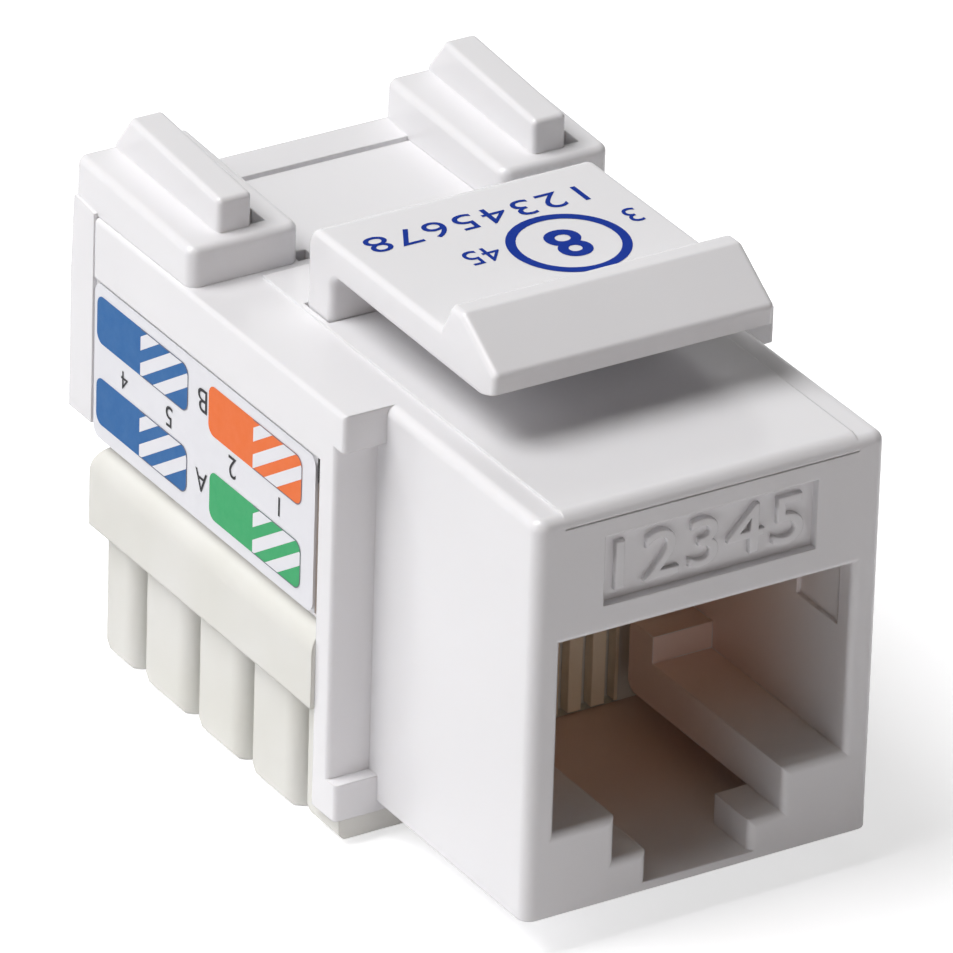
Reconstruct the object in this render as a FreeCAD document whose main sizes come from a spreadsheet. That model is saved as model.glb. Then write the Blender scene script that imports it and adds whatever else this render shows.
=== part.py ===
import FreeCAD, Part
import os
import re
import Sketcher

# Keystone jack: a white housing that snaps into a wall plate, a plug port at the front with eight
# sprung contacts, a circuit board, and a cream wiring block with two rows of punch-down towers.
# Lengths are in millimetres. While it is built, x is to the right of the port, y runs back from
# the front face and z up from the face's lower edge. Each sub-part's Placement then moves it, so
# that the origin is the middle of the box's underside, where the jack stands on its towers.

os.makedirs("parts", exist_ok=True)
doc = FreeCAD.newDocument("keystoneJack")
sheet = doc.addObject("Spreadsheet::Sheet", "dims")
sheet.Label = "dims"

dimensions = {
    # front body
    "faceWidth": 14.8, "faceHeight": 16.3, "bodyDepth": 10.25, "cornerRound": 0.5,
    "topRound": 0.4, "panelRise": 0.1, "panelInset": 1.2, "panelRound": 0.55,
    "panelMargin": 0.4, "panelBed": 0.3, "partLine": 0.05,
    # plug port, its tab slot and the hollow behind it
    "portWidth": 12.4, "portFloor": 3.4, "portRoof": 11.15, "stepWidth": 7.2, "stepFloor": 1.6,
    "slotWidth": 4.4, "slotFloor": 0.35, "catchDepth": 2.4, "wellWidth": 10.0, "railHeel": 0.5,
    "mouthRound": 0.3, "bayDepth": 1.25, "stopDepth": 1.6, "stopHeight": 1.1,
    "scallopFront": 0.9, "scallopRear": 3.6, "scallopBase": 8.3, "scallopSink": 0.15,
    "frontWall": 1.9, "coreRelief": 0.25, "topWall": 1.4,
    # recessed plate above the port
    "plateWidth": 9.0, "plateLift": 1.15, "plateMargin": 1.2, "plateSink": 0.35,
    # shoulder flange with its four blocks
    "flangeWidth": 18.4, "shoulderStep": 0.6, "flangeThick": 1.0, "flangeDrop": 0.45,
    "blockHeight": 1.5, "blockSeat": 0.2, "blockInner": 0.5,
    # side walls, label recesses and labels
    "wallBase": 7.2, "sideWall": 1.2, "wallRound": 0.18, "labelSink": 0.14,
    "labelMargin": 2.45, "labelGap": 0.35, "labelSheet": 0.1, "labelHead": 0.12,
    "labelRound": 0.45, "snapDepth": 0.6, "snapBase": 12.3,
    "seamBevel": 0.12, "wallBevel": 0.45, "coreHole": 0.7, "coreSetback": 0.1,
    # latch arm
    "latchWidth": 11.9, "latchReach": 4.85, "rootSetback": 5.7, "latchRoot": 0.85,
    "latchGap": 1.85, "latchThick": 1.4, "ridgeHeight": 1.2, "rootPlay": 0.05,
    "lipRun": 1.3, "lipRise": 0.3, "lipSag": 0.1, "rampRun": 2.35, "ridgeRun": 0.75,
    "ridgeFall": 0.65, "ridgeRound": 0.25, "heelRound": 0.75, "crookRound": 0.5,
    # rear cover with its stand-off feet
    "coverWall": 1.65, "coverLift": 0.5, "coverStep": 0.12, "coverRise": 0.3,
    "coverDraft": 0.35, "draftRun": 3.0,
    "footGap": 3.1, "footInset": 0.15, "footWidth": 4.69,
    "footHeight": 1.9, "footFall": 0.3, "footRound": 0.45, "footEdge": 0.3,
    "barInset": 1.54, "barWidth": 1.45, "barHeight": 1.6, "barFall": 0.5,
    "barSetback": 0.65, "barBevel": 1.25, "barEdge": 0.22, "barSeat": 0.5,
    "drainWidth": 0.65, "drainSetback": 0.8, "drainLength": 1.0, "drainFloor": 0.3,
    # wiring block with its side rails, towers and lip
    "railProud": 0.15, "railHeight": 3.65, "railRound": 1.4, "baseThick": 2.5,
    "blockInset": 0.2, "towerInset": 0.25, "towerDepth": 3.65, "towerTip": 1.55,
    "tipBevel": 0.15, "tipRun": 0.36, "tipRise": 0.46, "towerRound": 0.8,
    "endTower": 2.07, "rearMargin": 1.0, "wireSlot": 0.85, "wirePitch": 3.92,
    "frontWeb": 0.725, "lipDrop": 1.3, "lipSetback": 0.05, "lipRound": 0.35,
    "bladeInset": 1.95, "bladeFoot": 1.0, "bladePlay": 0.06,
    # circuit board
    "boardThick": 1.2, "boardPlay": 0.1, "boardHole": 0.8, "legHole": 0.29,
    # contact carrier
    "carrierPlay": 0.05, "carrierTail": 1.4, "combProud": 0.1, "combBack": 0.45,
    "combHeel": 1.0, "combFoot": 0.45, "combPlay": 0.05, "combEnd": 0.35, "legPlay": 0.05,
    # contacts
    "contactPitch": 1.016, "contactWire": 0.34, "bendSetback": 2.6, "bendRise": 0.8,
    "bendRound": 0.24, "armFall": 4.75, "armEntry": 0.1, "leadRise": 0.3,
    "legSetback": 1.75, "legStep": 2.0, "hookFront": 0.65, "hookInner": 0.31, "hookDrop": 0.1,
    "armRoot": 0.21, "armCrown": 0.19, "endUnder": 0.9, "endOver": 0.8, "endLift": 0.25,
    "endCut": 0.1,
    # terminals
    "terminalSheet": 0.5, "terminalWidth": 1.24, "terminalSlit": 0.3, "terminalHead": 3.0,
    "terminalTail": 0.6, "tailStand": 0.8, "slitHead": 1.6, "slitMouth": 0.5,
}
# Sizes that follow from the ones above.
derived = {
    "flangeFront": "bodyDepth + shoulderStep",
    "flangeRear": "flangeFront + flangeThick",
    "coreWidth": "portWidth - 2 * coreRelief",
    "coreRoof": "faceHeight - topWall",
    "railDepth": "flangeRear - bayDepth",
    "plateBase": "portRoof + plateLift",
    "plateTop": "faceHeight - plateMargin",
    "panelTop": "faceHeight + panelRise",
    "panelHalf": "faceWidth / 2 - panelInset",
    "noseBase": "panelTop - panelRound",
    "labelTop": "faceHeight - labelMargin",
    "wallOuter": "flangeWidth / 2",
    "wallInner": "flangeWidth / 2 - sideWall",
    "labelFront": "flangeRear + labelGap",
    "labelHeadBase": "labelTop - labelHead",
    "coreHoleFront": "footFront + coreSetback",
    "wireFirst": "flangeRear + frontWeb + wireSlot / 2",
    "webRear": "wireFirst - wireSlot / 2",
    "towerRear": "wireFirst + 3 * wirePitch + wireSlot / 2 + endTower",
    "sectionRear": "towerRear + rearMargin",
    "depth": "sectionRear + coverWall",
    "blockRear": "sectionRear - blockInset",
    "latchTip": "bodyDepth - latchReach",
    "latchPivot": "flangeRear + rootSetback",
    "latchUnder": "panelTop + latchGap",
    "latchTop": "latchUnder + latchThick",
    "latchRidge": "latchTop + ridgeHeight",
    "ridgeFront": "latchTip + rampRun",
    "ridgeRear": "ridgeFront + ridgeRun",
    "coverBase": "wallBase + coverLift",
    "footFront": "latchPivot + latchRoot + footGap",
    "footOuter": "flangeWidth / 2 - footInset",
    "footInner": "footOuter - footWidth",
    "footTop": "faceHeight + footHeight",
    "barOuter": "footOuter - barInset",
    "barInner": "barOuter - barWidth",
    "barTop": "footTop + barHeight",
    "barFront": "footFront + barSetback",
    "barSill": "footTop - barSeat",
    "drainFront": "footFront + drainSetback",
    "drainRear": "drainFront + drainLength",
    "lipFront": "bodyDepth + lipSetback",
    "railHalf": "flangeWidth / 2 + railProud",
    "railUnder": "wallBase - railHeight",
    "baseUnder": "wallBase - baseThick",
    "towerOuter": "flangeWidth / 2 - towerInset",
    "towerInner": "towerOuter - towerDepth",
    "bladeX": "towerOuter - bladeInset",
    "boardHalf": "flangeWidth / 2 - sideWall - boardPlay",
    "boardFront": "combRear + boardPlay",
    "boardTop": "wallBase + boardThick",
    "carrierHalf": "coreWidth / 2 - carrierPlay",
    "carrierFront": "frontWall + 2 * carrierPlay",
    "carrierTop": "coreRoof - carrierPlay",
    "carrierRear": "legNear + legStep + carrierTail",
    "combFront": "flangeRear - combProud",
    "combRear": "flangeRear + combHeel",
    "combHalf": "3.5 * contactPitch + combEnd",
    "combSlot": "contactWire + 2 * combPlay",
    "stopFront": "railDepth - stopDepth",
    "stopTop": "portFloor + stopHeight",
    "bendY": "frontWall + bendSetback",
    "bendZ": "portRoof + bendRise",
    "armEnd": "combFront + armEntry",
    "armFoot": "bendZ - armFall",
    "leadBase": "bendZ + leadRise",
    "leadTop": "leadBase + contactWire",
    "carrierUnder": "leadTop + carrierPlay",
    "legNear": "flangeRear + legSetback",
    "terminalTop": "wallBase - terminalHead",
    "tailEnd": "boardTop + tailStand",
    "slitTop": "terminalTop - slitHead",
}
for row, (alias, value) in enumerate(dimensions.items(), start=1):
    sheet.set("A%d" % row, alias)
    sheet.set("B%d" % row, str(value))
    sheet.setAlias("B%d" % row, alias)
doc.recompute()

aliasPattern = re.compile(r"\b(" + "|".join(dimensions) + r")\b")
derivedPattern = re.compile(r"\b(" + "|".join(derived) + r")\b")
# The sketch axes on each origin plane: pads grow along +x, +y or +z from their start.
planes = {
    "top": ("XY_Plane", 1),
    "front": ("XZ_Plane", -1),
    "side": ("YZ_Plane", 1),
}


def spell(expression):
    # Writes the derived sizes out in terms of the sheet's own.
    while derivedPattern.search(expression):
        expression = derivedPattern.sub(lambda name: "(%s)" % derived[name.group(1)], expression)
    return expression


def size(expression):
    return float(sheet.evalExpression(spell(expression)))


def bound(expression):
    return aliasPattern.sub(r"<<dims>>.\1", spell(expression))


def rectangle(low, base, high, top):
    return [(low, base), (high, base), (high, top), (low, top)]


def mirrored(outline):
    return [("-(%s)" % across, up) for across, up in outline]


def bothSides(outline):
    return [outline, mirrored(outline)]


def newBody(label):
    body = doc.addObject("PartDesign::Body", label)
    body.Label = label
    return body


def originItem(body, role):
    return [item for item in body.Origin.OriginFeatures if item.Role == role][0]


def addSketch(body, name, plane, start):
    role, sign = planes[plane]
    sketch = body.newObject("Sketcher::SketchObject", name)
    sketch.AttachmentSupport = (originItem(body, role), [""])
    sketch.MapMode = "FlatFace"
    sketch.setExpression("AttachmentOffset.Base.z", "%d * (%s)" % (sign, bound(start)))
    return sketch


def addOutline(sketch, outline):
    first = sketch.GeometryCount
    count = len(outline)
    places = [FreeCAD.Vector(size(across), size(up), 0) for across, up in outline]
    for index, place in enumerate(places):
        sketch.addGeometry(Part.LineSegment(place, places[(index + 1) % count]), False)
    for index, (across, up) in enumerate(outline):
        line = first + index
        following = first + (index + 1) % count
        sketch.addConstraint(Sketcher.Constraint("Coincident", line, 2, following, 1))
        for kind, expression in (("DistanceX", across), ("DistanceY", up)):
            rule = Sketcher.Constraint(kind, -1, 1, line, 1, size(expression))
            place = sketch.addConstraint(rule)
            sketch.setExpression("Constraints[%d]" % place, bound(expression))


def addCircle(sketch, across, up, radius):
    middle = FreeCAD.Vector(size(across), size(up), 0)
    circle = Part.Circle(middle, FreeCAD.Vector(0, 0, 1), size(radius))
    index = sketch.addGeometry(circle, False)
    rules = (
        (Sketcher.Constraint("DistanceX", -1, 1, index, 3, size(across)), across),
        (Sketcher.Constraint("DistanceY", -1, 1, index, 3, size(up)), up),
        (Sketcher.Constraint("Radius", index, size(radius)), radius),
    )
    for rule, expression in rules:
        place = sketch.addConstraint(rule)
        sketch.setExpression("Constraints[%d]" % place, bound(expression))


def grow(body, kind, name, sketch, plane, start, end):
    # Adds a Pad or a Pocket between two levels, and makes sure that it changed the solid.
    before = body.Shape.Volume if body.Shape.Solids else 0.0
    backwards = planes[plane][1] < 0
    feature = body.newObject("PartDesign::" + kind, name)
    feature.Profile = sketch
    feature.setExpression("Length", bound("(%s) - (%s)" % (end, start)))
    feature.Reversed = backwards if kind == "Pad" else not backwards
    doc.recompute()
    change = body.Shape.Volume - before
    if (kind == "Pad") != (change > 1e-6) or abs(change) < 1e-6:
        raise RuntimeError("%s of %s changed the volume by %g" % (name, body.Label, change))
    return feature


def pad(body, name, plane, outlines, start, end):
    sketch = addSketch(body, name + "Sketch", plane, start)
    for outline in outlines:
        addOutline(sketch, outline)
    return grow(body, "Pad", name, sketch, plane, start, end)


def pocket(body, name, plane, outlines, start, end):
    sketch = addSketch(body, name + "Sketch", plane, start)
    for outline in outlines:
        addOutline(sketch, outline)
    return grow(body, "Pocket", name, sketch, plane, start, end)


def roundPocket(body, name, plane, circles, start, end):
    sketch = addSketch(body, name + "Sketch", plane, start)
    for across, up, radius in circles:
        addCircle(sketch, across, up, radius)
    return grow(body, "Pocket", name, sketch, plane, start, end)


def roundPad(body, name, plane, circles, start, end):
    sketch = addSketch(body, name + "Sketch", plane, start)
    for across, up, radius in circles:
        addCircle(sketch, across, up, radius)
    return grow(body, "Pad", name, sketch, plane, start, end)


def edgesWhere(shape, test):
    names = []
    for index, edge in enumerate(shape.Edges, start=1):
        ends = [vertex.Point for vertex in edge.Vertexes]
        if len(ends) == 2 and test(ends[0], ends[1]):
            names.append("Edge%d" % index)
    return names


def near(value, *targets):
    return any(abs(value - target) < 1e-4 for target in targets)


def dress(body, kind, name, amount, test):
    # Rounds or bevels every edge whose two ends pass the test.
    base = body.Tip
    names = edgesWhere(base.Shape, test)
    if not names:
        raise RuntimeError("no edge found for " + name)
    feature = body.newObject("PartDesign::" + kind, name)
    feature.Base = (base, names)
    feature.setExpression("Radius" if kind == "Fillet" else "Size", bound(amount))
    doc.recompute()
    if not feature.Shape.isValid():
        raise RuntimeError("bad dress-up " + name)
    return feature


def repeat(body, name, originals, role, length, count):
    before = body.Shape.Volume
    pattern = body.newObject("PartDesign::LinearPattern", name)
    pattern.Originals = originals
    pattern.Direction = (originItem(body, role), [""])
    pattern.setExpression("Length", bound(length))
    pattern.Occurrences = count
    body.Tip = pattern
    doc.recompute()
    if abs(body.Shape.Volume - before) < 1e-6:
        raise RuntimeError(name + " changed nothing")
    return pattern


def mirror(body, name, originals, role):
    before = body.Shape.Volume
    feature = body.newObject("PartDesign::Mirrored", name)
    feature.Originals = originals
    feature.MirrorPlane = (originItem(body, role), [""])
    body.Tip = feature
    doc.recompute()
    if abs(body.Shape.Volume - before) < 1e-6:
        raise RuntimeError(name + " changed nothing")
    return feature


def frontHousing():
    # One moulding: hollow front body, flange, side walls and top.
    body = newBody("front_housing")
    face = rectangle("-faceWidth / 2", "0", "faceWidth / 2", "faceHeight")
    pad(body, "frontBody", "front", [face], "0", "flangeRear")
    flange = rectangle("-wallOuter", "-flangeDrop", "wallOuter", "faceHeight")
    pad(body, "flange", "front", [flange], "flangeFront", "flangeRear")
    half = size("wallOuter")
    roof = size("faceHeight")
    dress(body, "Fillet", "faceCorners", "cornerRound", lambda a, b: (
        near(abs(a.x), size("faceWidth / 2")) and near(a.x, b.x)
        and near(a.y, 0) and near(b.y, 0)))
    dress(body, "Fillet", "topFrontEdge", "topRound", lambda a, b: (
        near(a.z, roof) and near(b.z, roof) and near(a.y, 0) and near(b.y, 0)))
    blocks = bothSides(rectangle("faceWidth / 2 - blockInner", "faceHeight - blockHeight",
                                 "wallOuter", "faceHeight"))
    blocks += bothSides(rectangle("faceWidth / 2 - blockInner", "-flangeDrop", "wallOuter",
                                  "blockHeight - flangeDrop"))
    pad(body, "shoulderBlocks", "front", blocks, "bodyDepth", "flangeFront + blockSeat")
    section = rectangle("-wallOuter", "wallBase", "wallOuter", "faceHeight")
    pad(body, "section", "front", [section], "flangeRear", "sectionRear")
    dress(body, "Fillet", "outerEdges", "wallRound", lambda a, b: (
        near(abs(a.x), half) and near(a.x, b.x)
        and (near(a.z, roof) and near(b.z, roof)
             or near(a.y, b.y) and near(a.y, size("bodyDepth"), size("flangeFront")))))
    dress(body, "Chamfer", "rearSeam", "seamBevel", lambda a, b: (
        near(a.y, size("sectionRear")) and near(b.y, a.y) and near(a.z, roof)
        and near(b.z, roof)))
    panel = [("0", "noseBase - panelBed"), ("footFront - panelMargin", "noseBase - panelBed"),
             ("footFront - panelMargin", "panelTop"), ("panelRound", "panelTop"),
             ("panelRound", "noseBase"), ("0", "noseBase")]
    pad(body, "topPanel", "side", [panel], "-panelHalf", "panelHalf")
    roundPad(body, "panelNose", "side", [("panelRound", "noseBase", "panelRound")],
             "-panelHalf", "panelHalf")
    line = rectangle("-panelHalf", "noseBase - partLine", "panelHalf", "noseBase")
    pocket(body, "partingLine", "front", [line], "0", "partLine")
    hollow = rectangle("-wallInner", "wallBase", "wallInner", "coreRoof")
    pocket(body, "sectionHollow", "front", [hollow], "flangeRear", "sectionRear")
    dress(body, "Chamfer", "rearCorners", "wallBevel", lambda a, b: (
        near(a.y, size("sectionRear")) and near(b.y, a.y) and near(a.z, size("wallBase"))
        and near(b.z, a.z)))
    core = rectangle("-coreWidth / 2", "portRoof", "coreWidth / 2", "coreRoof")
    pocket(body, "core", "front", [core], "frontWall", "flangeRear")
    bay = rectangle("-coreWidth / 2", "slotFloor", "coreWidth / 2", "coreRoof")
    pocket(body, "combBay", "front", [bay], "railDepth", "flangeRear")
    port = rectangle("-portWidth / 2", "portFloor", "portWidth / 2", "portRoof")
    pocket(body, "port", "front", [port], "0", "railDepth")
    step = rectangle("-stepWidth / 2", "stepFloor", "stepWidth / 2", "portFloor")
    pocket(body, "portStep", "front", [step], "0", "railDepth")
    slot = rectangle("-slotWidth / 2", "slotFloor", "slotWidth / 2", "stepFloor")
    pocket(body, "tabSlot", "front", [slot], "0", "railDepth")
    low = size("slotFloor")
    high = size("portRoof")
    dress(body, "Fillet", "mouthEdges", "mouthRound", lambda a, b: (
        near(a.y, 0) and near(b.y, 0) and abs(a.x) < size("portWidth / 2") + 0.01
        and abs(b.x) < size("portWidth / 2") + 0.01
        and low - 0.01 < min(a.z, b.z) and low + 0.01 < max(a.z, b.z) < high + 0.01))
    well = rectangle("-wellWidth / 2", "slotFloor", "wellWidth / 2", "stepFloor")
    pocket(body, "tabWell", "front", [well], "catchDepth", "railDepth")
    dress(body, "Fillet", "railHeels", "railHeel", lambda a, b: (
        near(a.y, size("railDepth")) and near(b.y, a.y) and near(a.z, size("stepFloor"))
        and near(b.z, a.z)))
    stops = bothSides(rectangle("stepWidth / 2", "portFloor", "portWidth / 2", "stopTop"))
    pad(body, "plugStops", "front", stops, "stopFront", "railDepth")
    scallops = bothSides(rectangle("portWidth / 2", "scallopBase",
                                   "portWidth / 2 + scallopSink", "portRoof"))
    pocket(body, "wallScallops", "front", scallops, "scallopFront", "scallopRear")
    plate = rectangle("-plateWidth / 2", "plateBase", "plateWidth / 2", "plateTop")
    pocket(body, "plate", "front", [plate], "0", "plateSink")
    recess = bothSides(rectangle("wallOuter - labelSink", "wallBase", "wallOuter", "labelTop"))
    pocket(body, "labelRecess", "front", recess, "flangeRear", "sectionRear")
    groove = bothSides(rectangle("wallOuter - snapDepth", "wallBase + labelHead",
                                 "wallOuter - labelSink", "labelTop"))
    pocket(body, "snapGroove", "front", groove, "flangeRear", "labelFront")
    head = bothSides(rectangle("wallOuter - snapDepth", "labelHeadBase",
                               "wallOuter - labelSink", "labelTop"))
    pocket(body, "labelGroove", "front", head, "labelFront", "sectionRear")
    snap = bothSides(rectangle("wallInner", "snapBase", "wallOuter - snapDepth", "labelTop"))
    pocket(body, "snapSlot", "front", snap, "flangeRear", "labelFront")
    roundPocket(body, "latchTrough", "side",
                [("latchPivot", "panelTop", "latchRoot + rootPlay")],
                "-latchWidth / 2 - rootPlay", "latchWidth / 2 + rootPlay")
    holes = bothSides(rectangle("footInner - coreHole", "coreHoleFront", "footInner",
                                "coreHoleFront + coreHole"))
    pocket(body, "coreHoles", "top", holes, "coreRoof", "faceHeight")
    return body


def latchArm():
    # The tongue turns on its round root, which stands in a trough of the housing's top.
    body = newBody("latch_arm")
    pivot = "panelTop"
    profile = [
        ("latchTip + lipRun", "latchUnder - lipSag"), ("latchTip + lipSag", "latchUnder + lipRise"),
        ("latchTip", "latchTop - lipRise"), ("ridgeFront", "latchRidge"),
        ("ridgeRear", "latchRidge"), ("ridgeRear + ridgeFall", "latchTop"),
        ("latchPivot + latchRoot", "latchTop"), ("latchPivot + latchRoot", pivot),
        ("latchPivot - latchRoot", pivot), ("latchPivot - latchRoot", "latchUnder"),
    ]
    pad(body, "tongue", "side", [profile], "-latchWidth / 2", "latchWidth / 2")
    roundPad(body, "root", "side", [("latchPivot", pivot, "latchRoot")],
             "-latchWidth / 2", "latchWidth / 2")
    rear = size("latchPivot + latchRoot")
    inner = size("latchPivot - latchRoot")
    tip = size("latchTip")
    dress(body, "Fillet", "heel", "heelRound", lambda a, b: (
        near(a.y, rear) and near(b.y, rear) and near(a.z, size("latchTop")) and near(a.z, b.z)))
    dress(body, "Fillet", "crook", "crookRound", lambda a, b: (
        near(a.y, inner) and near(b.y, inner) and near(a.z, size("latchUnder"))
        and near(a.z, b.z)))
    dress(body, "Fillet", "ridge", "ridgeRound", lambda a, b: (
        near(a.z, size("latchRidge")) and near(b.z, a.z)
        or near(a.y, tip) or near(b.y, tip)
        or near(abs(a.x), size("latchWidth / 2")) and near(a.x, b.x)
        and near(size("ridgeRear + ridgeFall"), a.y, b.y)))
    return body


def rearCover():
    # Closes the back, and carries a stepped stand-off foot on each side of the top.
    body = newBody("rear_cover")
    wall = [("sectionRear", "coverBase"), ("depth", "coverBase"),
            ("depth", "faceHeight + coverRise"), ("sectionRear", "faceHeight + coverStep")]
    pad(body, "wall", "side", [wall], "-wallOuter", "wallOuter")
    foot = [("footFront", "faceHeight"), ("depth", "faceHeight"), ("depth", "footTop"),
            ("footFront", "footTop - footFall")]
    pad(body, "foot", "side", [foot], "footInner", "footOuter")
    mirror(body, "feet", [body.Tip], "YZ_Plane")
    dress(body, "Fillet", "footCorners", "footRound", lambda a, b: (
        near(a.y, size("footFront")) and near(b.y, a.y) and near(a.x, b.x)))
    top = size("footTop - footFall") - 0.01
    dress(body, "Fillet", "footEdges", "footEdge", lambda a, b: (
        near(abs(a.x), size("footOuter"), size("footInner")) and near(a.x, b.x)
        and min(a.z, b.z) > top))
    bar = [("barFront", "barSill"), ("depth", "barSill"), ("depth", "footTop"),
           ("depth - barBevel", "barTop"), ("barFront", "barTop - barFall")]
    pad(body, "bar", "side", [bar], "barInner", "barOuter")
    mirror(body, "bars", [body.Tip], "YZ_Plane")
    crest = size("barTop - barFall") - 0.01
    dress(body, "Fillet", "barEdges", "barEdge", lambda a, b: max(a.z, b.z) > crest)
    slope = [("depth", "faceHeight - draftRun"), ("depth + coverDraft", "faceHeight - draftRun"),
             ("depth + coverDraft", "barTop"), ("depth - coverDraft", "barTop")]
    pocket(body, "backSlope", "side", [slope], "-wallOuter", "wallOuter")
    drains = [rectangle("barOuter", "drainFront", "barOuter + drainWidth", "drainRear"),
              rectangle("-barInner", "drainFront", "-barInner + drainWidth", "drainRear")]
    pocket(body, "drains", "top", drains, "faceHeight + drainFloor", "footTop")
    return body


def wiringBlock():
    # Base with a proud bar along each side, two rows of towers and the lip at the front.
    body = newBody("wiring_block")
    base = rectangle("-railHalf", "baseUnder", "railHalf", "wallBase")
    pad(body, "base", "front", [base], "flangeRear", "blockRear")
    rails = bothSides(rectangle("towerInner", "railUnder", "railHalf", "baseUnder"))
    pad(body, "sideRails", "front", rails, "flangeRear", "blockRear")
    rows = bothSides(rectangle("towerInner", "-towerTip", "towerOuter", "railUnder"))
    pad(body, "rows", "front", rows, "webRear", "towerRear")
    front = rectangle("-towerOuter", "-lipDrop", "towerOuter", "baseUnder")
    pad(body, "frontWall", "front", [front], "flangeRear", "webRear")
    lip = rectangle("-towerOuter", "-lipDrop", "towerOuter", "-flangeDrop")
    pad(body, "lip", "front", [lip], "lipFront", "flangeRear")
    dress(body, "Fillet", "railShoulders", "railRound", lambda a, b: (
        near(a.z, size("wallBase")) and near(b.z, a.z)
        and (near(abs(a.x), size("railHalf")) and near(a.x, b.x)
             or near(a.y, size("blockRear")) and near(b.y, a.y))))
    dress(body, "Fillet", "lipCorners", "lipRound", lambda a, b: (
        near(a.z, size("-lipDrop")) and near(b.z, a.z) and near(abs(a.x), size("towerOuter"))
        and near(a.x, b.x)))
    lipHeel = [("webRear - tipRun", "-lipDrop"), ("webRear", "-lipDrop"),
               ("webRear", "tipRise - lipDrop")]
    pocket(body, "lipHeel", "side", [lipHeel], "-towerOuter", "towerOuter")
    dress(body, "Chamfer", "towerTips", "tipBevel", lambda a, b: (
        near(a.z, size("-towerTip")) and near(b.z, a.z) and near(a.x, b.x)))
    wire = rectangle("-towerOuter", "webRear", "towerOuter", "webRear + wireSlot")
    wireSlot = pocket(body, "wireSlot", "top", [wire], "-towerTip", "railUnder")
    heel = [("webRear - tipRun", "-towerTip"), ("webRear", "-towerTip"),
            ("webRear", "tipRise - towerTip")]
    acrossHalf = "terminalSheet / 2 + bladePlay"
    alongHalf = "terminalWidth / 2 + bladePlay"
    nest = bothSides(rectangle("bladeX - (%s)" % acrossHalf, "wireFirst - (%s)" % alongHalf,
                               "bladeX + " + acrossHalf, "wireFirst + " + alongHalf))
    bladeNest = pocket(body, "bladeNest", "top", nest, "-bladeFoot", "wallBase")
    repeat(body, "wireSlots", [wireSlot, bladeNest], "Y_Axis", "3 * wirePitch", 4)
    for index in range(1, 5):
        rear = "(webRear + %d * wirePitch)" % index if index < 4 else "towerRear"
        heel = [(rear + " - tipRun", "-towerTip"), (rear, "-towerTip"),
                (rear, "tipRise - towerTip")]
        pocket(body, "towerHeel%d" % index, "side", [heel], "-towerOuter", "towerOuter")
    places = [size("webRear + wireSlot + %d * wirePitch" % index) for index in range(4)]
    dress(body, "Fillet", "towerCorners", "towerRound", lambda a, b: (
        near(abs(a.x), size("towerOuter")) and near(a.x, b.x) and near(a.y, b.y)
        and near(a.y, *places) and abs(a.z - b.z) > 1))
    recess = rectangle("-combHalf - carrierPlay", "slotFloor", "combHalf + carrierPlay",
                       "wallBase")
    pocket(body, "combRecess", "front", [recess], "flangeRear", "flangeRear + combBack")
    return body


def circuitBoard():
    body = newBody("circuit_board")
    board = rectangle("-boardHalf", "boardFront", "boardHalf", "sectionRear - boardPlay")
    pad(body, "board", "top", [board], "wallBase", "boardTop")
    holes = []
    for index in range(4):
        place = "wireFirst + %d * wirePitch" % index
        holes += [("bladeX", place, "boardHole / 2"), ("-bladeX", place, "boardHole / 2")]
    for index in range(8):
        across = "(%d - 3.5) * contactPitch" % index
        along = "(legNear + %d * legStep)" % (index % 2)
        holes.append((across, along, "legHole"))
    roundPocket(body, "holes", "top", holes, "wallBase", "boardTop")
    return body


def contactCarrier():
    # Block on the board, roof over the contacts, comb of nine ribs at the back of the port.
    body = newBody("contact_carrier")
    half = "carrierHalf"
    roof = rectangle("-" + half, "carrierUnder", half, "carrierTop")
    pad(body, "roof", "front", [roof], "carrierFront", "carrierRear")
    block = rectangle("-" + half, "boardTop", half, "carrierUnder")
    pad(body, "block", "front", [block], "flangeRear", "carrierRear")
    comb = rectangle("-combHalf", "wallBase + carrierPlay", "combHalf", "carrierUnder")
    pad(body, "comb", "front", [comb], "combFront", "combRear")
    ribs = rectangle("-combHalf", "combFoot", "combHalf", "wallBase + carrierPlay")
    pad(body, "ribs", "front", [ribs], "combFront", "flangeRear + combBack - carrierPlay")
    middles = ["(%d - 3.5) * contactPitch" % index for index in range(8)]
    slots = [rectangle(middle + " - combSlot / 2", "combFoot", middle + " + combSlot / 2",
                       "carrierUnder") for middle in middles]
    pocket(body, "combSlots", "front", slots, "combFront", "combRear")
    for index, middle in enumerate(middles):
        leg = "(legNear + %d * legStep)" % (index % 2)
        play = "(contactWire / 2 + legPlay)"
        low = "%s - %s" % (middle, play)
        high = "%s + %s" % (middle, play)
        run = rectangle(low, "flangeRear", high, "%s + %s" % (leg, play))
        pocket(body, "run%d" % (index + 1), "top", [run], "leadBase - carrierPlay", "carrierUnder")
        hole = rectangle(low, "%s - %s" % (leg, play), high, "%s + %s" % (leg, play))
        pocket(body, "leg%d" % (index + 1), "top", [hole], "boardTop",
               "leadBase - carrierPlay")
    return body


def contactLead(number):
    # Fixed run of one contact wire: from its leg in the board to the bend above the port.
    body = newBody("contact_lead_%d" % number)
    middle = "(%d - 3.5) * contactPitch" % (number - 1)
    leg = "(legNear + %d * legStep)" % ((number - 1) % 2)
    profile = [
        ("bendY - hookFront", "bendZ - hookDrop"), ("bendY - hookInner", "bendZ - hookDrop"),
        ("bendY - hookInner", "leadBase"), (leg + " - contactWire / 2", "leadBase"),
        (leg + " - contactWire / 2", "wallBase"), (leg + " + contactWire / 2", "wallBase"),
        (leg + " + contactWire / 2", "leadTop"), ("bendY - hookFront", "leadTop"),
    ]
    pad(body, "wire", "side", [profile], middle + " - contactWire / 2",
        middle + " + contactWire / 2")
    return body


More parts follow.
